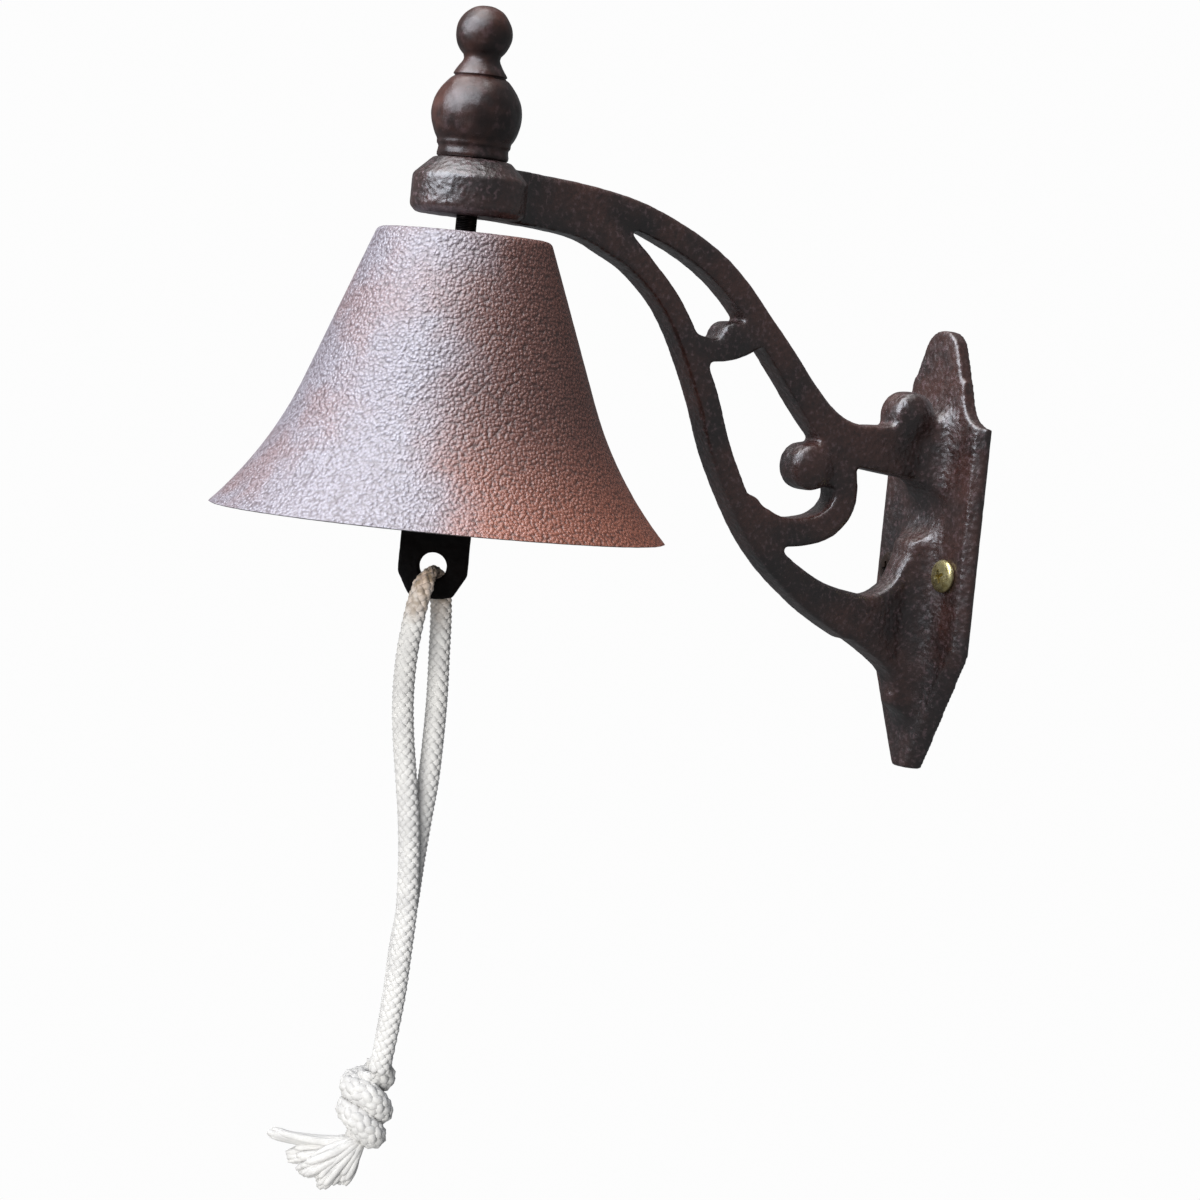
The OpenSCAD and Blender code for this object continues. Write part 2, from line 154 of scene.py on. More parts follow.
class NodeTree:
    """The nodes of a material or a world, with one method that adds any node."""

    def __init__(self, owner):
        owner.use_nodes = True
        self.tree = owner.node_tree
        self.tree.nodes.clear()

    def node(self, kind, settings, values):
        """Adds a node: its settings first, then values or links for its sockets."""
        made = self.tree.nodes.new(kind)
        for name, value in settings.items():
            setattr(made, name, value)
        for key, value in values.items():
            if isinstance(value, Sock):
                self.tree.links.new(value.socket, made.inputs[key])
            else:
                made.inputs[key].default_value = value
        return made

    def link(self, kind, settings, values, output=0):
        """Adds a node and returns one of its outputs."""
        return Sock(self, self.node(kind, settings, values).outputs[output])


class Finish(NodeTree):
    """A material with one main shader, and the nodes that its finish is made of."""

    def __init__(self, name):
        self.material = bpy.data.materials.new(name)
        super().__init__(self.material)
        self.shader = self.node("ShaderNodeBsdfPrincipled", {}, {})
        self.node("ShaderNodeOutputMaterial", {}, {"Surface": Sock(self, self.shader.outputs[0])})

    def place(self):
        """The piece's own coordinates, in metres."""
        return self.link("ShaderNodeTexCoord", {}, {}, "Object")

    def noise(self, where, scale, detail=2.0, rough=0.5):
        """Cloudy grain. The scale is in grains to a metre."""
        return self.link("ShaderNodeTexNoise", {}, {"Vector": where, "Scale": scale,
                         "Detail": detail, "Roughness": rough}, "Fac")

    def pits(self, where, scale, smooth=0.4):
        """Round pits: 0 at the middle of each, higher between them."""
        return self.link("ShaderNodeTexVoronoi", dict(feature="SMOOTH_F1"),
                         {"Vector": where, "Scale": scale, "Smoothness": smooth}, "Distance")

    def step(self, value, low, high, to_low=0.0, to_high=1.0):
        """Maps a value smoothly from low..high to to_low..to_high."""
        return self.link("ShaderNodeMapRange", dict(interpolation_type="SMOOTHSTEP"),
                         {"Value": value, "From Min": low, "From Max": high,
                          "To Min": to_low, "To Max": to_high}, "Result")

    def blend(self, share, first, second):
        """The first colour, turning into the second as the share goes from 0 to 1."""
        return self.link("ShaderNodeMix", dict(data_type="RGBA"),
                         {0: share, 6: first, 7: second}, 2)

    def part(self, vector, axis):
        """One of a vector's three numbers."""
        return self.link("ShaderNodeSeparateXYZ", {}, {0: vector}, axis)

    def bump(self, height, distance, strength=1.0, over=None):
        """Relief from a height, laid over another relief where one is given."""
        values = {"Height": height, "Distance": distance, "Strength": strength}
        if over is not None:
            values["Normal"] = over
        return self.link("ShaderNodeBump", {}, values, "Normal")

    def set(self, **sockets):
        """Sets the shader's sockets. An underscore in a name stands for a space."""
        for name, value in sockets.items():
            socket = self.shader.inputs[name.replace("_", " ")]
            if isinstance(value, Sock):
                self.tree.links.new(value.socket, socket)
            else:
                socket.default_value = value
        return self.material


def rgb(red, green, blue):
    """A display colour of 0 to 255 as the linear colour that shaders use."""
    def linear(v):
        v /= 255
        return v / 12.92 if v <= 0.04045 else ((v + 0.055) / 1.055) ** 2.4
    return (linear(red), linear(green), linear(blue), 1.0)


def waxed_iron(name, dark, brown, painted_sheen, grain, grain_depth, gloss, ior=1.62):
    """Waxed cast iron: dark brown, rustier in patches, with a pale painted sheen on its grain's
    tops and painted shade in its hollows.
    """
    finish = Finish(name)
    where = finish.place()
    patches = finish.step(finish.noise(where, 55, 3, 0.6), 0.35, 0.68)
    fine = finish.noise(where, grain, 3, 0.55)
    pits = finish.pits(where, grain * 0.8)
    colour = finish.blend(patches, dark, brown)
    # The grain's tops turn towards the pale colour: a painted highlight that stands in for the
    # wax's sheen.
    painted_highlight_tops = finish.step(fine, 0.52, 0.72) * 0.55
    colour = finish.blend(painted_highlight_tops, colour, painted_sheen)
    # The grain's hollows turn dark brown: painted shade.
    painted_shade_hollows = finish.step(fine, 0.30, 0.46, 1.0, 0.0) * 0.5
    colour = finish.blend(painted_shade_hollows, colour, rgb(26, 15, 13))
    rough = finish.step(finish.noise(where, grain * 0.6, 2), 0.3, 0.7, gloss, gloss + 0.16)
    coarse = finish.bump(pits, grain_depth, 0.7)
    normal = finish.bump(fine, grain_depth * 0.8, 0.8, over=coarse)
    return finish.set(Base_Color=colour, Roughness=rough, Normal=normal, IOR=ior)


bracket = cast_copy("cast_bracket", "wall_plate", "scroll_arm", "arm_boss")
# A root's span is its lowest and highest point on the plate. A knob is its reach from the
# wall, its height, its radius and how far it swells. Both are in millimetres.
arm_half = 4.0 * MM
sheet_size, sheet_cells = (22, 92), (36, 150)
sheet_front, sheet_back, sheet_mid = -3.5 * MM, -2.0 * MM, -1 * MM
root_spans = ((17.5, 32.5), (-41.0, 2.0))
fillet_rise, fillet_run = 7.0 * MM, 2.7 * MM
point_z, point_run = -62 * MM, 32 * MM
corner_y, corner_z, corner_r = -61.6 * MM, 8.0 * MM, 3.0 * MM
bracket_voxel = 0.62 * MM
slot_hollow = np.array([[-112.0, 74.6], [-100.0, 70.2]]) * MM
hollow_depth, hollow_half, hollow_widens = 1.6 * MM, 1.9 * MM, 1.2 * MM
knobs = ((13.0, 34.4, 6.4, 2.0), (44.0, 19.2, 6.2, 1.8), (72.4, 49.4, 4.3, 0.6))
joint_y, joint_z, joint_r = -61.0 * MM, 8.5 * MM, 4.5 * MM
arm_starts, boss_clear, zone_fade = -5.5 * MM, 14.5 * MM, 3.0 * MM

# The casting's wide fillets: a sheet over the plate that rises round both of the arm's roots,
# and narrows with the plate towards its point.
bpy.ops.object.select_all(action="DESELECT")
bpy.ops.mesh.primitive_grid_add(x_subdivisions=sheet_cells[0], y_subdivisions=sheet_cells[1],
                                size=1 * MM)
fillets = bpy.context.active_object
fillets.scale = (*sheet_size, 1)
fillets.rotation_euler = (math.pi / 2, 0, 0)
fillets.location = (0, sheet_front, sheet_mid)
bpy.ops.object.transform_apply(location=True, rotation=True, scale=True)
bpy.ops.object.mode_set(mode="EDIT")
bpy.ops.mesh.select_all(action="SELECT")
bpy.ops.mesh.extrude_region_move(
    TRANSFORM_OT_translate={"value": (0, sheet_back - sheet_front, 0)})
bpy.ops.mesh.select_all(action="SELECT")
bpy.ops.mesh.normals_make_consistent(inside=False)
bpy.ops.object.mode_set(mode="OBJECT")
sheet = points_of(fillets)
beside = np.maximum(np.abs(sheet[:, 0]) - arm_half, 0)
rise = np.zeros(len(sheet))
for root_low, root_high in root_spans:
    beyond = np.maximum.reduce([sheet[:, 2] - root_high * MM, root_low * MM - sheet[:, 2],
                                np.zeros(len(sheet))])
    rise = np.maximum(rise, fillet_rise * np.exp(-np.hypot(beside, beyond) / fillet_run))
at_front = sheet[:, 1] < (sheet_front + sheet_back) / 2
sheet[:, 1] -= np.where(at_front, rise, 0)
sheet[:, 0] *= np.clip((sheet[:, 2] - point_z) / point_run, 0, 1)
move_points(fillets, sheet)

# The scroll runs into the inner strand with a rounded corner.
bpy.ops.object.select_all(action="DESELECT")
bpy.ops.mesh.primitive_cylinder_add(vertices=40, radius=corner_r, depth=2 * arm_half,
                                    location=(0, corner_y, corner_z),
                                    rotation=(0, math.pi / 2, 0))
corner_fill = bpy.context.active_object
bpy.ops.object.transform_apply(location=True, rotation=True, scale=True)
select_only(corner_fill, fillets, bracket)
bpy.ops.object.join()
fuse(bracket, bracket_voxel)

# A shallow hollow runs into the pointed end of the slot on both faces.
points = points_of(bracket)
hollow_from, hollow_to = slot_hollow
run = hollow_to - hollow_from
share = np.clip(((points[:, 1:] - hollow_from) @ run) / (run @ run), 0, 1)
away = np.linalg.norm(points[:, 1:] - hollow_from - share[:, None] * run, axis=1)
sink = hollow_depth * np.clip(1 - (away / (hollow_half + hollow_widens * share)) ** 2, 0, 1)
on_face = np.abs(points[:, 0]) > arm_half - 0.5 * MM
points[:, 0] -= np.where(on_face, np.sign(points[:, 0]) * sink, 0)

# The volute and the scroll ends swell into rounded knobs.
for reach, height, knob_r, swell in knobs:
    away = np.hypot(points[:, 1] + reach * MM, points[:, 2] - height * MM) / (knob_r * MM)
    dome = swell * MM * np.clip(1 - away ** 2, 0, 1)
    points[:, 0] += np.where(on_face & (away < 1), np.sign(points[:, 0]) * dome, 0)
move_points(bracket, points)

# All edges are rounded a little, the arm's more, and the corner in the scroll the most.
round_off(bracket, 5)
arm_zone = bracket.vertex_groups.new(name="arm_zone")
clear_of_plate = np.clip((arm_starts - points[:, 1]) / zone_fade, 0, 1)
from_axis = np.hypot(points[:, 0], points[:, 1] - bell_axis.y)
clear_of_plate *= np.clip((from_axis - boss_clear) / zone_fade, 0, 1)
for number in np.nonzero(clear_of_plate > 0)[0]:
    arm_zone.add([int(number)], float(clear_of_plate[number]), "REPLACE")
round_off(bracket, 22, "arm_zone")
joint_zone = bracket.vertex_groups.new(name="joint_zone")
at_joint = np.hypot(points[:, 1] - joint_y, points[:, 2] - joint_z) < joint_r
joint_zone.add([int(number) for number in np.nonzero(at_joint)[0]], 1.0, "REPLACE")
round_off(bracket, 40, "joint_zone")
bracket.vertex_groups.clear()
cast_skin(bracket, 0.18 * MM, 2.0 * MM)
# The third colour is the pale painted sheen on the grain's tops.
arm_iron = waxed_iron("arm_iron", rgb(30, 18, 16), rgb(66, 38, 31), rgb(104, 82, 84),
                      900, 0.20 * MM, 0.27, ior=1.85)
bracket.data.materials.append(arm_iron)
select_only(bracket)
bpy.ops.object.shade_smooth()
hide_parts("wall_plate", "scroll_arm", "arm_boss")
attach(bracket, "bracket")

# ---------------------------------------------------------------------------
# Finial
# A turned ornament screwed down on the boss: a foot with a bead, a bulb, a
# grooved collar, a neck and a ball. It is polished smoother than the casting.
# ---------------------------------------------------------------------------
finial_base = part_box("finial")[0].z


def turned(name, axis, base, profile, sides):
    """Turns a piece: a chain of points is extruded, then spun about the axis.
    The profile is radius and height above the base, in millimetres."""
    bpy.ops.object.select_all(action="DESELECT")
    radius, height = profile[0]
    bpy.ops.mesh.primitive_plane_add(size=MM, location=(axis.x + radius * MM, axis.y,
                                                        base + height * MM))
    piece = bpy.context.active_object
    piece.name = name
    bpy.ops.object.transform_apply(location=True, rotation=True, scale=True)
    bpy.ops.object.mode_set(mode="EDIT")
    bpy.ops.mesh.select_all(action="SELECT")
    bpy.ops.mesh.merge(type="CENTER")
    for (r0, z0), (r1, z1) in zip(profile, profile[1:]):
        bpy.ops.mesh.extrude_vertices_move(
            TRANSFORM_OT_translate={"value": ((r1 - r0) * MM, 0, (z1 - z0) * MM)})
    bpy.ops.mesh.select_all(action="SELECT")
    bpy.ops.mesh.spin(steps=sides, angle=2 * math.pi, center=(axis.x, axis.y, 0), axis=(0, 0, 1))
    bpy.ops.mesh.select_all(action="SELECT")
    bpy.ops.mesh.remove_doubles(threshold=2e-6)
    bpy.ops.mesh.normals_make_consistent(inside=False)
    bpy.ops.object.mode_set(mode="OBJECT")
    bpy.ops.object.shade_smooth_by_angle(angle=math.radians(40))
    return piece


def curve_through(points, steps):
    """A smooth line through every point, with this many steps from one to the next."""
    points = np.array(points, float)
    line = []
    for i in range(len(points) - 1):
        a, b = points[max(i - 1, 0)], points[i]
        c, d = points[i + 1], points[min(i + 2, len(points) - 1)]
        for k in range(steps):
            t = k / steps
            line.append(0.5 * (2 * b + (c - a) * t + (2 * a - 5 * b + 4 * c - d) * t * t
                               + (3 * b - 3 * c + d - a) * t ** 3))
    line.append(points[-1])
    return np.array(line)


foot = [(7.2, 0.05), (8.2, 0.1), (8.55, 0.5), (8.6, 1.1), (8.45, 1.8), (8.4, 2.5)]
bead = [(8.55, 2.9), (8.75, 3.15), (8.85, 3.5), (8.85, 3.85), (8.85, 4.1)]
bulb = [(9.0, 4.5), (9.55, 5.4), (10.2, 7.0), (10.65, 9.0), (10.78, 10.8), (10.6, 12.6),
        (10.05, 14.4), (9.1, 16.2), (8.0, 17.7), (7.0, 18.75)]
collar = [(6.35, 19.15), (6.1, 19.3), (6.15, 19.5), (6.45, 19.75), (6.4, 20.05), (5.8, 21.0),
          (5.2, 21.9), (4.75, 22.6), (4.45, 23.2), (4.35, 23.7)]
ball_r, ball_z = 6.78, 29.5
ball = [(ball_r * math.cos(math.radians(a)), ball_z + ball_r * math.sin(math.radians(a)))
        for a in range(-48, 90, 6)] + [(0.0, ball_z + ball_r)]
finial_profile = [(0.0, 0.05)] + foot + bead + [tuple(p) for p in curve_through(bulb, 2)]
finial = turned("finial_turned", bell_axis, finial_base, finial_profile + collar + ball, 112)
cast_skin(finial, 0.42 * MM, 3.6 * MM)
# The third colour is the pale painted sheen on the grain's tops.
finial_iron = waxed_iron("finial_iron", rgb(28, 17, 15), rgb(74, 43, 34), rgb(78, 58, 58),
                         420, 0.20 * MM, 0.30, ior=1.55)
finial.data.materials.append(finial_iron)
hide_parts("finial")
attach(finial, "bracket")

# ---------------------------------------------------------------------------
# Hanger rod, washer and nut
# A dark steel rod screws through the boss into the finial. A washer and a
# locked nut under the crown carry the bell, and the rod ends in an eye.
# ---------------------------------------------------------------------------
# A band texture's scale is this number over the distance from one band to the next.
BAND_SCALE = 0.314


def coat(node, finish):
    """Gives a CAD node's own object this finish."""
    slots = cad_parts[node].data.materials
    slots.clear()
    slots.append(finish)


def dark_steel(name, thread_pitch=None):
    """Blackened steel with a little oily wear. A pitch adds a fine thread along Z."""
    finish = Finish(name)
    where = finish.place()
    wear = finish.step(finish.noise(where, 420, 3), 0.45, 0.75)
    colour = finish.blend(wear, rgb(38, 34, 33), rgb(92, 84, 80))
    rough = finish.step(wear, 0.0, 1.0, 0.55, 0.32)
    normal = finish.bump(finish.noise(where, 1800, 2), 0.04 * MM, 0.6)
    if thread_pitch:
        wave = finish.link("ShaderNodeTexWave", dict(wave_type="BANDS", bands_direction="Z"),
                           {"Vector": where, "Scale": BAND_SCALE / thread_pitch}, "Fac")
        normal = finish.bump(wave, 0.35 * MM, 1.0, over=normal)
    return finish.set(Base_Color=colour, Roughness=rough, Metallic=0.85, Normal=normal)


steel = dark_steel("hanger_steel")
threaded_steel = dark_steel("threaded_steel", thread_pitch=0.8 * MM)
coat("hanger_rod", threaded_steel)
coat("crown_washer", steel)
nut = cast_copy("lock_nut", "hanger_nut")
apply_modifier(nut, "BEVEL", width=0.45 * MM, segments=2, limit_method="ANGLE",
               angle_limit=math.radians(50))
nut.data.materials.append(steel)
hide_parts("hanger_nut")
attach(nut, "bracket")

# ---------------------------------------------------------------------------
# Bell
# One rough sand-cast iron shell with a flat crown, a straight waist and a wide flare. The skin is
# pebbled, and the wax is worn rusty toward one side, where the colour is also darkened as painted
# shade. The other side is painted pale lilac grey as painted sheen. The pebbles' tops carry
# painted highlights, and painted shade lies between them.
# ---------------------------------------------------------------------------
bell_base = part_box("bell")[0].z
crown_r, waist_r, flare_h = 21.2, 34.3, 33.0
bell_r, bell_h, bell_wall, crown_t = 55.0, 69.0, 3.0, 4.0
rod_hole_r, edge_r = 2.62, 2.0
# The outside is modelled this much under its full size, which leaves room for the sand skin.
skin_room = 0.12

# The straight waist leans by a tilt, and the flare is an arc that runs on from it to the mouth.
tilt = math.atan((waist_r - crown_r) / (bell_h - flare_h))
out_x, out_y = math.cos(tilt), math.sin(tilt)
reach_x, reach_y = bell_r - waist_r, -flare_h
flare_r = (reach_x ** 2 + reach_y ** 2) / (2 * (reach_x * out_x + reach_y * out_y))
centre_x, centre_y = waist_r + flare_r * out_x, flare_h + flare_r * out_y


def flare_arc(radius, lowest, steps):
    """Points of the flare, from the waist down to a height above the mouth."""
    end = math.pi + math.asin((centre_y - lowest) / radius)
    start = math.pi + tilt
    return [(centre_x + radius * math.cos(start + (end - start) * k / steps),
             centre_y + radius * math.sin(start + (end - start) * k / steps))
            for k in range(steps + 1)]


def straight(p, q, steps):
    """Points from p to just before q."""
    return [(p[0] + (q[0] - p[0]) * k / steps, p[1] + (q[1] - p[1]) * k / steps)
            for k in range(steps)]


edge_mid = (crown_r - edge_r + 0.1, bell_h - edge_r - 0.1)
crown_edge = [(edge_mid[0] + edge_r * math.sin(math.radians(a)),
               edge_mid[1] + edge_r * math.cos(math.radians(a))) for a in range(0, 72, 12)]
outside = (straight((rod_hole_r, bell_h - 0.1), crown_edge[0], 16) + crown_edge[:-1]
           + straight(crown_edge[-1],
                      (waist_r - skin_room * out_x, flare_h - skin_room * out_y), 34)
           + flare_arc(flare_r + skin_room, 0.75, 42))
rim = [(54.45, 0.35), (53.9, 0.12), (53.0, 0.08), (52.0, 0.12), (51.45, 0.4)]
inside_low = flare_arc(flare_r + bell_wall, 0.9, 24)[::-1]
ceiling = bell_h - crown_t
inner_top = (waist_r - bell_wall * out_x - (ceiling - flare_h + bell_wall * out_y)
             * math.tan(tilt), ceiling)
inside = (inside_low[:-1] + straight(inside_low[-1], inner_top, 18)
          + straight(inner_top, (rod_hole_r, ceiling), 8))
bell = turned("bell_shell", bell_axis, bell_base,
              outside + rim + inside + [(rod_hole_r, ceiling), (rod_hole_r, bell_h - 0.1)], 320)
cast_skin(bell, 0.14 * MM, 2.2 * MM)

# Rusty brown takes over past an upright plane through the bell, given by its normal and its
# place. It is partly the iron's real rusting and partly painted shade on the side away from the
# light. The side before the plane is painted pale as painted sheen, and the rusty side gets
# browner from a height down to the mouth.
rust_shade_x, rust_shade_y, rust_shade_place, rust_low = 0.552, 0.834, 0.126, 0.03
pebbles_per_m, lumps_per_m, grit_per_m, patches_per_m = 1150, 1350, 2400, 34


def bell_iron():
    """The bell's pebbled skin: pale lilac grey on its left as painted sheen, and rusty brown on
    its right, partly real and partly painted shade. The pebbles' tops carry painted highlights,
    with painted shade between them.
    """
    finish = Finish("bell_iron")
    where = finish.place()
    pits = finish.pits(where, pebbles_per_m, 0.15)
    lumps = finish.noise(where, lumps_per_m, 3, 0.6)
    pebble = lumps * 0.55 + (1 - pits * 1.25) * 0.45
    grit = finish.noise(where, grit_per_m, 2, 0.5)
    patch = finish.noise(where, patches_per_m, 3, 0.6)
    across = finish.part(where, 0) * rust_shade_x + finish.part(where, 1) * rust_shade_y + rust_shade_place
    low = finish.part(where, 2) * -1.0 + rust_low
    # This mask picks the right side, away from the key light: rusty there, and darker as painted
    # shade.
    rust_and_shade = finish.step(across + patch * 0.030, 0.006, 0.030)
    worn = finish.step(patch, 0.48, 0.64) * 0.6
    # The left base is pale lilac grey: painted sheen where the key light falls. The right base is
    # rusty brown, darkened as painted shade, and browner towards the mouth.
    painted_sheen_left = finish.blend(worn, rgb(126, 118, 124), rgb(120, 88, 84))
    rust_and_shade_right = finish.blend(finish.step(low, 0.0, 0.035), rgb(96, 56, 47), rgb(138, 76, 54))
    colour = finish.blend(rust_and_shade, painted_sheen_left, rust_and_shade_right)
    # The pebbles' tops are painted pale: painted highlights.
    painted_highlight_tops = finish.blend(rust_and_shade, rgb(170, 167, 175), rgb(140, 96, 80))
    colour = finish.blend(finish.step(pebble, 0.46, 0.72) * 0.5, colour, painted_highlight_tops)
    # Between the pebbles the colour turns dark: painted shade.
    painted_shade_gaps = finish.blend(rust_and_shade, rgb(60, 42, 44), rgb(44, 24, 19))
    colour = finish.blend(finish.step(pebble, 0.26, 0.48, 1.0, 0.0) * 0.6, colour, painted_shade_gaps)
    rough = finish.step(rust_and_shade, 0.0, 1.0, 0.34, 0.42) + finish.step(grit, 0.4, 0.7) * 0.10
    normal = finish.bump(pebble, 0.60 * MM, 1.0)
    normal = finish.bump(grit, 0.06 * MM, 0.6, over=normal)
    return finish.set(Base_Color=colour, Roughness=rough, Normal=normal, IOR=1.8)


bell.data.materials.append(bell_iron())
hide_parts("bell")
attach(bell, "bell")

# ---------------------------------------------------------------------------
# Link
# Two steel wire rings, welded at right angles, join the rod's eye to the clapper's.
# They hang loosely in both eyes, so that the clapper swings every way.
# ---------------------------------------------------------------------------
coat("clapper_link", steel)

# ---------------------------------------------------------------------------
# Clapper
# A second casting: an eye, a stem, a round striker and a flat tongue with a
# hole for the rope. It is left nearly black.
# ---------------------------------------------------------------------------
clapper = cast_copy("cast_clapper", "clapper")
fuse(clapper, 0.42 * MM)
round_off(clapper, 5)
cast_skin(clapper, 0.20 * MM, 1.6 * MM)
# The third colour is the painted sheen on the grain's tops.
clapper_iron = waxed_iron("clapper_iron", rgb(16, 11, 9), rgb(24, 15, 12), rgb(28, 21, 19),
                          800, 0.18 * MM, 0.62, ior=1.35)
clapper.data.materials.append(clapper_iron)
select_only(clapper)
bpy.ops.object.shade_smooth()
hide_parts("clapper")
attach(clapper, "clapper")

# ---------------------------------------------------------------------------
# Rope
# Soft braided cotton, 5.2 mm thick. It passes through the tongue's hole, and both
# strands hang to one knot. It is stained brown where it rubs on the iron.
# ---------------------------------------------------------------------------
# The two strands hang in a plane that is turned about the bell's axis. Their routes are in
# millimetres from the middle of the hole, where each strand is squeezed to its thinnest.
hang_turn = math.radians(56)
rope_start = Vector((bell_axis.x, bell_axis.y, -13.6 * MM))
rope_r, squeezed_r, squeezed_run = 2.75, 1.5, 7 * MM
front_route = [(0, 0, 0), (-0.2, -2.6, -0.1), (-1, -4.9, -1.6), (-2, -6, -5), (-3, -5.8, -11),
               (-3.9, -4.9, -20), (-3.9, -4, -30), (-2.9, -3.3, -40), (-1.3, -2.9, -50),
               (0.2, -2.8, -60), (1.2, -2.8, -70), (1.7, -2.8, -81), (1.4, -2.8, -91),
               (0.9, -2.9, -102), (-0.2, -2.9, -113), (-1.2, -2.8, -120.5)]
rear_route = [(0, 0, 0), (0.2, 2.6, -0.1), (1, 4.9, -1.6), (2, 6, -5), (2.7, 5.8, -11),
              (3.2, 4.9, -20), (3.7, 4, -30), (3.8, 3.3, -40), (3.6, 2.9, -50), (2.8, 2.8, -60),
              (2.1, 2.8, -70), (1.5, 2.8, -81), (0.6, 2.8, -91), (0.2, 2.9, -102),
              (-0.6, 2.9, -113), (-1.2, 2.8, -120.5)]


def hung(points, origin=(0, 0, 0)):
    """Turns points of the hanging rope, in mm, to where they are on the object, in metres."""
    p = np.array(points, float) + np.array(origin, float)
    c, s = math.cos(hang_turn), math.sin(hang_turn)
    turned_points = np.stack([c * p[:, 0] - s * p[:, 1], s * p[:, 0] + c * p[:, 1], p[:, 2]], 1)
    return turned_points * MM + np.array(rope_start)


def even(line, step):
    """The same line with its points evenly spaced."""
    along = np.concatenate([[0], np.cumsum(np.linalg.norm(np.diff(line, axis=0), axis=1))])
    at = np.linspace(0, along[-1], max(3, int(round(along[-1] / step)) + 1))
    return np.stack([np.interp(at, along, line[:, k]) for k in range(3)], 1), at


def across_line(line):
    """Two directions across a line that turn with it and never flip."""
    ahead = np.gradient(line, axis=0)
    ahead /= np.linalg.norm(ahead, axis=1)[:, None]
    across = np.cross(ahead[0], (0.3, 1.0, 0.2))
    sides = []
    for t in ahead:
        across = across - t * (across @ t)
        across /= np.linalg.norm(across)
        sides.append(across.copy())
    sides = np.array(sides)
    return sides, np.cross(ahead, sides)


class YarnMesh:
    """Collects yarns as swept tubes with a UV map: round the yarn, and along it in mm."""

    def __init__(self):
        self.points, self.faces, self.uvs = [], [], []

    def sweep(self, line, outward, wide, thick, sides=6, taper_end=0):
        """Adds one yarn. outward is the direction in which it is thin."""
        ahead = np.gradient(line, axis=0)
        ahead /= np.linalg.norm(ahead, axis=1)[:, None]
        across = np.cross(ahead, outward)
        across /= np.linalg.norm(across, axis=1)[:, None]
        out = np.cross(across, ahead)
        along = np.concatenate([[0], np.cumsum(np.linalg.norm(np.diff(line, axis=0), axis=1))])
        start, count = len(self.points), len(line)
        size = np.ones(count)
        for k in range(taper_end):
            size[count - 1 - k] = math.sqrt(1 - ((taper_end - k) / (taper_end + 0.5)) ** 2)
        for i in range(count):
            for k in range(sides):
                a = 2 * math.pi * k / sides
                self.points.append(line[i] + size[i] * (across[i] * wide[i] * math.sin(a)
                                                        + out[i] * thick[i] * math.cos(a)))
        for i in range(count - 1):
            for k in range(sides):
                n = (k + 1) % sides
                a, b = start + i * sides, start + (i + 1) * sides
                self.faces.append((a + k, a + n, b + n, b + k))
                u0, u1 = k / sides, (k + 1) / sides
                v0, v1 = along[i] / MM, along[i + 1] / MM
                self.uvs.append(((u0, v0), (u1, v0), (u1, v1), (u0, v1)))
        ends = (list(range(start + sides - 1, start - 1, -1)),
                list(range(start + (count - 1) * sides, start + count * sides)))
        for end, v in zip(ends, (0, along[-1] / MM)):
            self.faces.append(tuple(end))
            self.uvs.append(tuple((k / sides, v) for k in range(sides)))

    def piece(self, name):
        """Makes one piece of all the yarns, smooth and facing outwards."""
        mesh = bpy.data.meshes.new(name)
        mesh.from_pydata([tuple(p) for p in self.points], [], self.faces)
        uv = mesh.uv_layers.new(name="yarn")
        uv.data.foreach_set("uv", np.array([c for face in self.uvs for c in face],
                                           np.float32).ravel())
        made = bpy.data.objects.new(name, mesh)
        bpy.context.scene.collection.objects.link(made)
        select_only(made)
        bpy.ops.object.mode_set(mode="EDIT")
        bpy.ops.mesh.select_all(action="SELECT")
        bpy.ops.mesh.normals_make_consistent(inside=False)
        bpy.ops.object.mode_set(mode="OBJECT")
        bpy.ops.object.shade_smooth()
        return made


def braid(mesh, line, size, yarns=6, pitch=15.0, step=0.42):
    """Braids yarns round a line: half turn one way, half the other, over one, under one.
    size gives the rope's radius in metres at each distance along the line."""
    line, along = even(line, step * MM)
    side, other = across_line(line)
    radius = size(along)
    wave = np.cos(2 * math.pi * yarns * along / (pitch * MM))
    for way in (1, -1):
        for k in range(yarns):
            angle = way * 2 * math.pi * along / (pitch * MM) + 2 * math.pi * k / yarns
            outward = side * np.cos(angle)[:, None] + other * np.sin(angle)[:, None]
            distance = radius * (0.62 + way * 0.105 * wave)
            mesh.sweep(line + outward * distance[:, None], outward,
                       radius * 0.36, radius * 0.27)


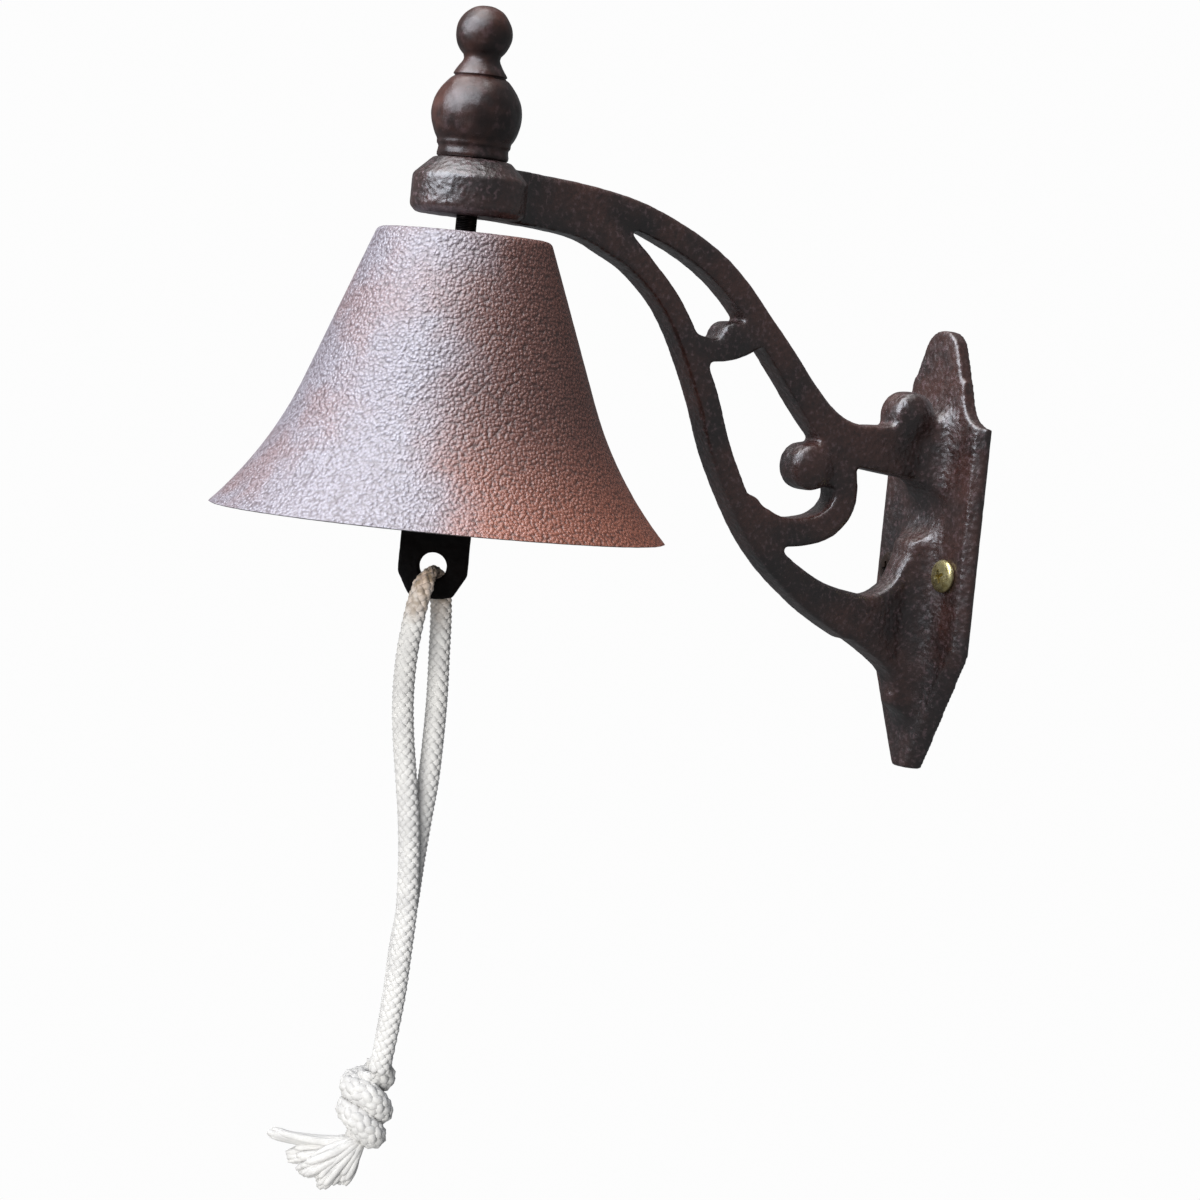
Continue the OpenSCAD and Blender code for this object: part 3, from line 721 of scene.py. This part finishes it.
def cotton(name, stain_low, stain_high):
    """Soft undyed cotton: fine fibres along each yarn, and a brown stain up to a height."""
    finish = Finish(name)
    uv = finish.link("ShaderNodeUVMap", dict(uv_map="yarn"), {})
    fibre_place = finish.link("ShaderNodeMapping", {}, {
        "Vector": uv, "Scale": (9.0, 1.2, 1.0), "Rotation": (0, 0, 0.25)})
    fibre = finish.noise(fibre_place, 2.0, 3, 0.6)
    where = finish.place()
    mottle = finish.noise(where, 160, 3, 0.6)
    soft = finish.noise(where, 700, 2, 0.5)
    colour = finish.blend(finish.step(mottle, 0.4, 0.7), rgb(204, 203, 201), rgb(190, 189, 188))
    colour = finish.blend(finish.step(fibre, 0.3, 0.5, 1.0, 0.0) * 0.35, colour,
                          rgb(172, 170, 168))
    height = finish.part(where, 2)
    stained = finish.step(height + mottle * 0.014, stain_low, stain_high)
    colour = finish.blend(stained * 0.85, colour, rgb(176, 152, 132))
    colour = finish.blend(stained * finish.step(soft, 0.42, 0.62) * 0.8, colour,
                          rgb(112, 96, 72))
    normal = finish.bump(fibre, 0.12 * MM, 0.8)
    normal = finish.bump(soft, 0.06 * MM, 0.5, over=normal)
    return finish.set(Base_Color=colour, Roughness=0.92, Normal=normal, Sheen_Weight=0.25,
                      Sheen_Roughness=0.5, Specular_IOR_Level=0.25)


cotton_rope = cotton("cotton_rope", -0.022, -0.006)


def rope_size(along):
    """The rope's radius: squeezed in its hole, full a few millimetres on."""
    grown = np.clip(along / squeezed_run, 0, 1) ** 2
    return (squeezed_r + (rope_r - squeezed_r) * grown) * MM


strands = []
for name, route in (("rope_front", front_route), ("rope_rear", rear_route)):
    yarns = YarnMesh()
    path = hung(curve_through(route, 8))
    braid(yarns, path, rope_size)
    strand = yarns.piece(name + "_braid")
    strand.data.materials.append(cotton_rope)
    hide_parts(name)
    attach(strand, "rope")
    strands.append((strand, path))

# ---------------------------------------------------------------------------
# Knot
# Both strands of the cotton rope are gathered in one tight overhand knot. Its
# turns wind round each other, and a core of rope fills the middle.
# ---------------------------------------------------------------------------
knot_mid, turn_r, core_r = (-4.0, 0.0, -130.0), 3.55 * MM, 3.2 * MM
turns = [(0.4, -1.2, 9.6), (2.8, 0.2, 8.6), (3.2, 2.6, 6.8), (0.0, 3.5, 6.0), (-3.0, 1.4, 5.4),
         (-2.6, -2.2, 4.6), (0.8, -3.4, 3.4), (3.2, -1.6, 0.8), (3.4, 1.6, -1.2),
         (0.4, 3.3, -1.6), (-3.1, 1.6, -0.6), (-3.2, -1.8, -0.8), (-0.6, -3.4, -2.8),
         (2.2, -2.2, -5.6), (2.4, 0.8, -7.0), (0.0, 2.2, -6.8), (-1.4, 0.6, -7.4)]
knot_yarns = YarnMesh()
braid(knot_yarns, hung(curve_through(turns, 8), knot_mid),
      lambda along: np.full(len(along), turn_r), yarns=8, pitch=24.0, step=0.5)
core = [(0.6, -1.4, 9.0), (0.4, -0.6, 5.0), (0.0, 0.0, 0.0), (-0.4, 0.4, -5.0), (-1.2, 0.0, -8.0)]
braid(knot_yarns, hung(curve_through(core, 8), knot_mid),
      lambda along: np.full(len(along), core_r), yarns=6, pitch=15.0, step=0.6)
knot = knot_yarns.piece("rope_knot_wound")
knot.data.materials.append(cotton_rope)
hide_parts("rope_knot")
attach(knot, "rope")

# ---------------------------------------------------------------------------
# Frayed ends
# Under the knot the rope's yarns are unravelled into soft tufts that fan out. One
# slim tuft sticks out sideways, and the others hang.
# ---------------------------------------------------------------------------
tufts = [((-1.0, 0.0, -8.0), (-6.0, -0.6, -9.2), (-13.0, -1.2, -9.4), (-22.5, -1.6, -8.0)),
         ((-0.8, 0.4, -8.0), (-5.0, 0.4, -10.4), (-10.0, 0.2, -12.0), (-17.4, -0.2, -14.2)),
         ((-1.0, -0.8, -8.0), (-4.6, -2.0, -10.8), (-8.6, -2.6, -13.6), (-14.0, -2.4, -17.4)),
         ((-0.8, -0.4, -8.4), (-3.4, -1.8, -11.6), (-6.0, -2.2, -15.0), (-9.0, -2.0, -20.2)),
         ((-0.4, 0.0, -8.4), (-1.8, -0.4, -12.0), (-3.0, -0.6, -15.6), (-4.6, -0.6, -19.6)),
         ((-0.6, 0.8, -8.2), (-3.6, 2.0, -11.4), (-6.6, 2.4, -14.6), (-10.6, 2.2, -18.6))]
slim_yarns, full_yarns, yarn_thick = 5, 14, 0.92
rng = np.random.default_rng(11)
tuft_yarns = YarnMesh()
for tuft_number, tuft in enumerate(tufts):
    slim = tuft_number == 0
    line, along = even(hung(curve_through(tuft, 8), knot_mid), 0.8 * MM)
    side, other = across_line(line)
    share = along / along[-1]
    count = slim_yarns if slim else full_yarns
    for k in range(count):
        ring = math.sqrt((k + 0.5) / count)
        angle = 2.4 * k + share * rng.uniform(0.4, 1.1) + rng.uniform(0, 0.4)
        spread = (0.9 + (0.2 if slim else 1.5) * np.sin(share * 1.9)) * ring
        wave = 0.16 * np.sin(share * rng.uniform(6, 11) + rng.uniform(0, 6))
        offset = (side * (np.cos(angle) * (spread + wave))[:, None]
                  + other * (np.sin(angle) * (spread - wave))[:, None]) * MM
        last = len(line) - int(round(3.4 * ring ** 3)) - int(rng.integers(0, 2))
        yarn = (line + offset)[:last]
        outward = (side * np.cos(angle)[:, None] + other * np.sin(angle)[:, None])[:last]
        thick = (yarn_thick + rng.uniform(-0.06, 0.1)) * MM * (1 - 0.10 * share[:last])
        tuft_yarns.sweep(yarn, outward, thick * 1.2, thick, sides=8, taper_end=3)
tassel = tuft_yarns.piece("rope_frayed_ends")
tassel.data.materials.append(cotton_rope)
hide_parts("rope_tassel")
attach(tassel, "rope")

(front_strand, front_path), (rear_strand, rear_path) = strands

# ---------------------------------------------------------------------------
# Wall screws
# Two brass wood screws with domed cross-recess heads hold the plate to the wall, one on each side
# of the arm. The left one is painted dark brown, as dark as the casting: painted shade.
# ---------------------------------------------------------------------------
screw_gap, screw_z, plate_t = 22.0, -6.0, 4.0
recess_long, recess_wide, recess_deep, recess_narrows = 4.6, 1.15, 2.4, 0.45
recess_turns = (20, 110)
thread_pitch, thread_turns, thread_foot, thread_core_r, ridge_r = 1.66, 7, -17.0, 1.30, 0.55


def wood_screw(name, x):
    """One screw, built standing on the Z axis with its head up, then laid into the wall."""
    dome = [(4.28 * math.sin(math.radians(a)), 0.75 + 1.4 * math.cos(math.radians(a)))
            for a in range(0, 91, 9)]
    profile = dome + [(4.25, 0.4), (4.05, 0.05), (3.2, 0.02), (2.4, 0.0), (2.1, -0.3),
                      (2.1, -3.9), (1.35, -4.4), (1.32, -15.6), (0.7, -18.0), (0.0, -19.9)]
    screw = turned(name, Vector((0, 0, 0)), 0.0, profile, 64)
    cutters = []
    for turn in recess_turns:
        bpy.ops.object.select_all(action="DESELECT")
        bpy.ops.mesh.primitive_cube_add(size=1, location=(0, 0, 1.75 * MM))
        cutter = bpy.context.active_object
        cutter.scale = (recess_long * MM, recess_wide * MM, recess_deep * MM)
        cutter.rotation_euler = (0, 0, math.radians(turn))
        bpy.ops.object.transform_apply(location=True, rotation=True, scale=True)
        bpy.ops.object.mode_set(mode="EDIT")
        bpy.ops.mesh.select_all(action="DESELECT")
        bpy.ops.object.mode_set(mode="OBJECT")
        for face in cutter.data.polygons:
            face.select = face.normal.z < -0.5
        bpy.ops.object.mode_set(mode="EDIT")
        bpy.ops.transform.resize(value=(recess_narrows, recess_narrows, 1),
                                 center_override=(0, 0, 0))
        bpy.ops.object.mode_set(mode="OBJECT")
        cutters.append(cutter)
    for cutter in cutters:
        apply_modifier(screw, "BOOLEAN", operation="DIFFERENCE", object=cutter, solver="EXACT")
    select_only(*cutters)
    bpy.ops.object.delete()
    bpy.ops.object.select_all(action="DESELECT")
    bpy.ops.mesh.primitive_circle_add(vertices=3, radius=ridge_r * MM, fill_type="NGON",
                                      location=(thread_core_r * MM, 0, thread_foot * MM),
                                      rotation=(math.pi / 2, 0, 0))
    thread = bpy.context.active_object
    bpy.ops.object.transform_apply(location=True, rotation=True, scale=True)
    apply_modifier(thread, "SCREW", axis="Z", steps=28, render_steps=28,
                   iterations=thread_turns, screw_offset=thread_pitch * MM,
                   angle=2 * math.pi, use_normal_calculate=True)
    select_only(thread, screw)
    bpy.ops.object.join()
    screw.data.transform(Matrix.Translation((x * MM, -plate_t * MM, screw_z * MM))
                         @ Matrix.Rotation(math.pi / 2, 4, "X"))
    return screw


def passivated(name, bright, dull, metal):
    """A screw's metal with a faint patchy tint: bright yellow for one screw, and dark brown, as
    painted shade, for the other.
    """
    finish = Finish(name)
    where = finish.place()
    patch = finish.step(finish.noise(where, 500, 3), 0.35, 0.7)
    colour = finish.blend(patch, bright, dull)
    rough = finish.step(finish.noise(where, 900, 2), 0.3, 0.7, 0.24, 0.42)
    normal = finish.bump(finish.noise(where, 2600, 2), 0.03 * MM, 0.5)
    return finish.set(Base_Color=colour, Roughness=rough, Metallic=metal, Normal=normal)


zinc = passivated("yellow_zinc", rgb(214, 202, 150), rgb(176, 160, 104), 0.9)
# The left screw's dark brown is painted shade.
painted_shade_zinc = passivated("painted_shade_zinc", rgb(52, 38, 30), rgb(34, 23, 19), 0.3)
for name, x, zinc_finish in (("wood_screw_left", -screw_gap / 2, painted_shade_zinc),
                             ("wood_screw_right", screw_gap / 2, zinc)):
    screw = wood_screw(name, x)
    screw.data.materials.append(zinc_finish)
    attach(screw, "bracket")
    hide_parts("wall_screws")

# ---------------------------------------------------------------------------
# Floor, wall, light and camera
# A plain pale floor lies far under the object, and a white wall stands behind the
# plate. Soft studio light comes from the left and above, and the camera stands to one side.
# ---------------------------------------------------------------------------
bpy.context.scene.view_settings.view_transform = "Standard"
azimuth, pitch, roll = math.radians(56.508), math.radians(3.681), math.radians(-5.691)
camera_place, lens_to_width = (0.6931, -0.5612, 0.0354), 3380.6 / 1200
back = Vector((math.sin(azimuth) * math.cos(pitch), -math.cos(azimuth) * math.cos(pitch),
               math.sin(pitch)))
right = Vector((math.cos(azimuth), math.sin(azimuth), 0))
up = back.cross(right)
view_right = math.cos(roll) * right - math.sin(roll) * up
view_up = math.sin(roll) * right + math.cos(roll) * up
lens = bpy.data.cameras.new("camera")
lens.sensor_width = 36.0
lens.lens = lens_to_width * 36.0
lens.clip_start, lens.clip_end = 0.01, 50
camera = bpy.data.objects.new("camera", lens)
bpy.context.scene.collection.objects.link(camera)
camera.matrix_world = Matrix.Translation(camera_place) @ Matrix(
    (view_right, view_up, back)).transposed().to_4x4()
bpy.context.scene.camera = camera

floor_z, floor_size, wall_y, wall_size = -1.0, 30, 0.4 * MM, 12
bpy.ops.object.select_all(action="DESELECT")
bpy.ops.mesh.primitive_plane_add(size=floor_size, location=(0, 0, floor_z))
floor = bpy.context.active_object
floor.name = "floor"
floor_finish = Finish("floor_paint")
floor_tone = floor_finish.blend(floor_finish.noise(floor_finish.place(), 6, 2),
                                rgb(238, 238, 239), rgb(244, 244, 245))
floor.data.materials.append(floor_finish.set(Base_Color=floor_tone, Roughness=0.9))
floor.visible_diffuse = floor.visible_glossy = False

# The wall is clear from behind, so that the object's back can be seen.
bpy.ops.object.select_all(action="DESELECT")
bpy.ops.mesh.primitive_plane_add(size=wall_size, location=(0, wall_y, 0),
                                 rotation=(math.pi / 2, 0, 0))
wall = bpy.context.active_object
wall.name = "wall"
wall_paint = bpy.data.materials.new("wall_paint")
paint = NodeTree(wall_paint)
white = paint.link("ShaderNodeEmission", {}, {"Color": (1, 1, 1, 1), "Strength": 0.98})
clear = paint.link("ShaderNodeBsdfTransparent", {}, {})
from_behind = paint.link("ShaderNodeNewGeometry", {}, {}, "Backfacing")
one_sided = paint.link("ShaderNodeMixShader", {}, {0: from_behind, 1: white, 2: clear})
paint.node("ShaderNodeOutputMaterial", {}, {"Surface": one_sided})
wall.data.materials.append(wall_paint)
wall.visible_diffuse = wall.visible_glossy = wall.visible_shadow = False

target, lamp_away = Vector((0, -0.11, 0.0)), 1.1
left, forward, above = -right, Vector((back.x, back.y, 0)).normalized(), Vector((0, 0, 1))


def softbox(name, direction, size, watts, colour):
    """A square lamp that looks at the bell from a direction. It returns the lamp's object."""
    lamp = bpy.data.lights.new(name, "AREA")
    lamp.shape, lamp.size, lamp.energy, lamp.color = "SQUARE", size, watts, colour
    holder = bpy.data.objects.new(name, lamp)
    bpy.context.scene.collection.objects.link(holder)
    direction = direction.normalized()
    holder.matrix_world = Matrix.Translation(target + direction * lamp_away) @ (
        direction.to_track_quat("Z", "Y").to_matrix().to_4x4())
    return holder


key = softbox("key_softbox", left * 1.0 + forward * 0.55 + above * 0.7, 1.0, 24,
              (0.86, 0.91, 1.0))
softbox("top_softbox", left * 0.3 + forward * 0.1 + above * 1.2, 0.8, 7, (0.92, 0.95, 1.0))
softbox("front_softbox", left * 0.28 + forward * 1.0 + above * 1.1, 0.4, 4, (0.86, 0.90, 1.0))
rope_card = softbox("rope_card", left * 0.35 + forward * 1.0 + above * -0.1, 0.8, 17,
                    (1.0, 0.99, 0.97))

# The card brightens only the rope, which hangs in the bell's shadow, and the key skips the rope.
card_reaches = bpy.data.collections.new("rope_card_reaches")
key_skips = bpy.data.collections.new("key_skips")
for number, piece in enumerate((front_strand, rear_strand, knot, tassel)):
    card_reaches.objects.link(piece)
    key_skips.objects.link(piece)
    key_skips.collection_objects[number].light_linking.link_state = "EXCLUDE"
rope_card.light_linking.receiver_collection = card_reaches
key.light_linking.receiver_collection = key_skips

daylight = bpy.data.lights.new("overhead_light", "SUN")
daylight.energy, daylight.angle, daylight.color = 1.7, math.radians(70), (1.0, 0.99, 0.98)
overhead = bpy.data.objects.new("overhead_light", daylight)
bpy.context.scene.collection.objects.link(overhead)
overhead.rotation_euler = (left * 0.25 + above).to_track_quat("Z", "Y").to_euler()

# The world looks white, and lights the object less than it shows.
world = bpy.data.worlds.new("studio")
bpy.context.scene.world = world
sky = NodeTree(world)
shown = sky.link("ShaderNodeBackground", {}, {"Color": (1, 1, 1, 1), "Strength": 0.96})
lighting = sky.link("ShaderNodeBackground", {}, {"Color": (0.93, 0.96, 1.0, 1),
                                                 "Strength": 0.20})
seen = sky.link("ShaderNodeLightPath", {}, {}, "Is Camera Ray")
chosen = sky.link("ShaderNodeMixShader", {}, {0: seen, 1: lighting, 2: shown})
sky.node("ShaderNodeOutputWorld", {}, {"Surface": chosen})
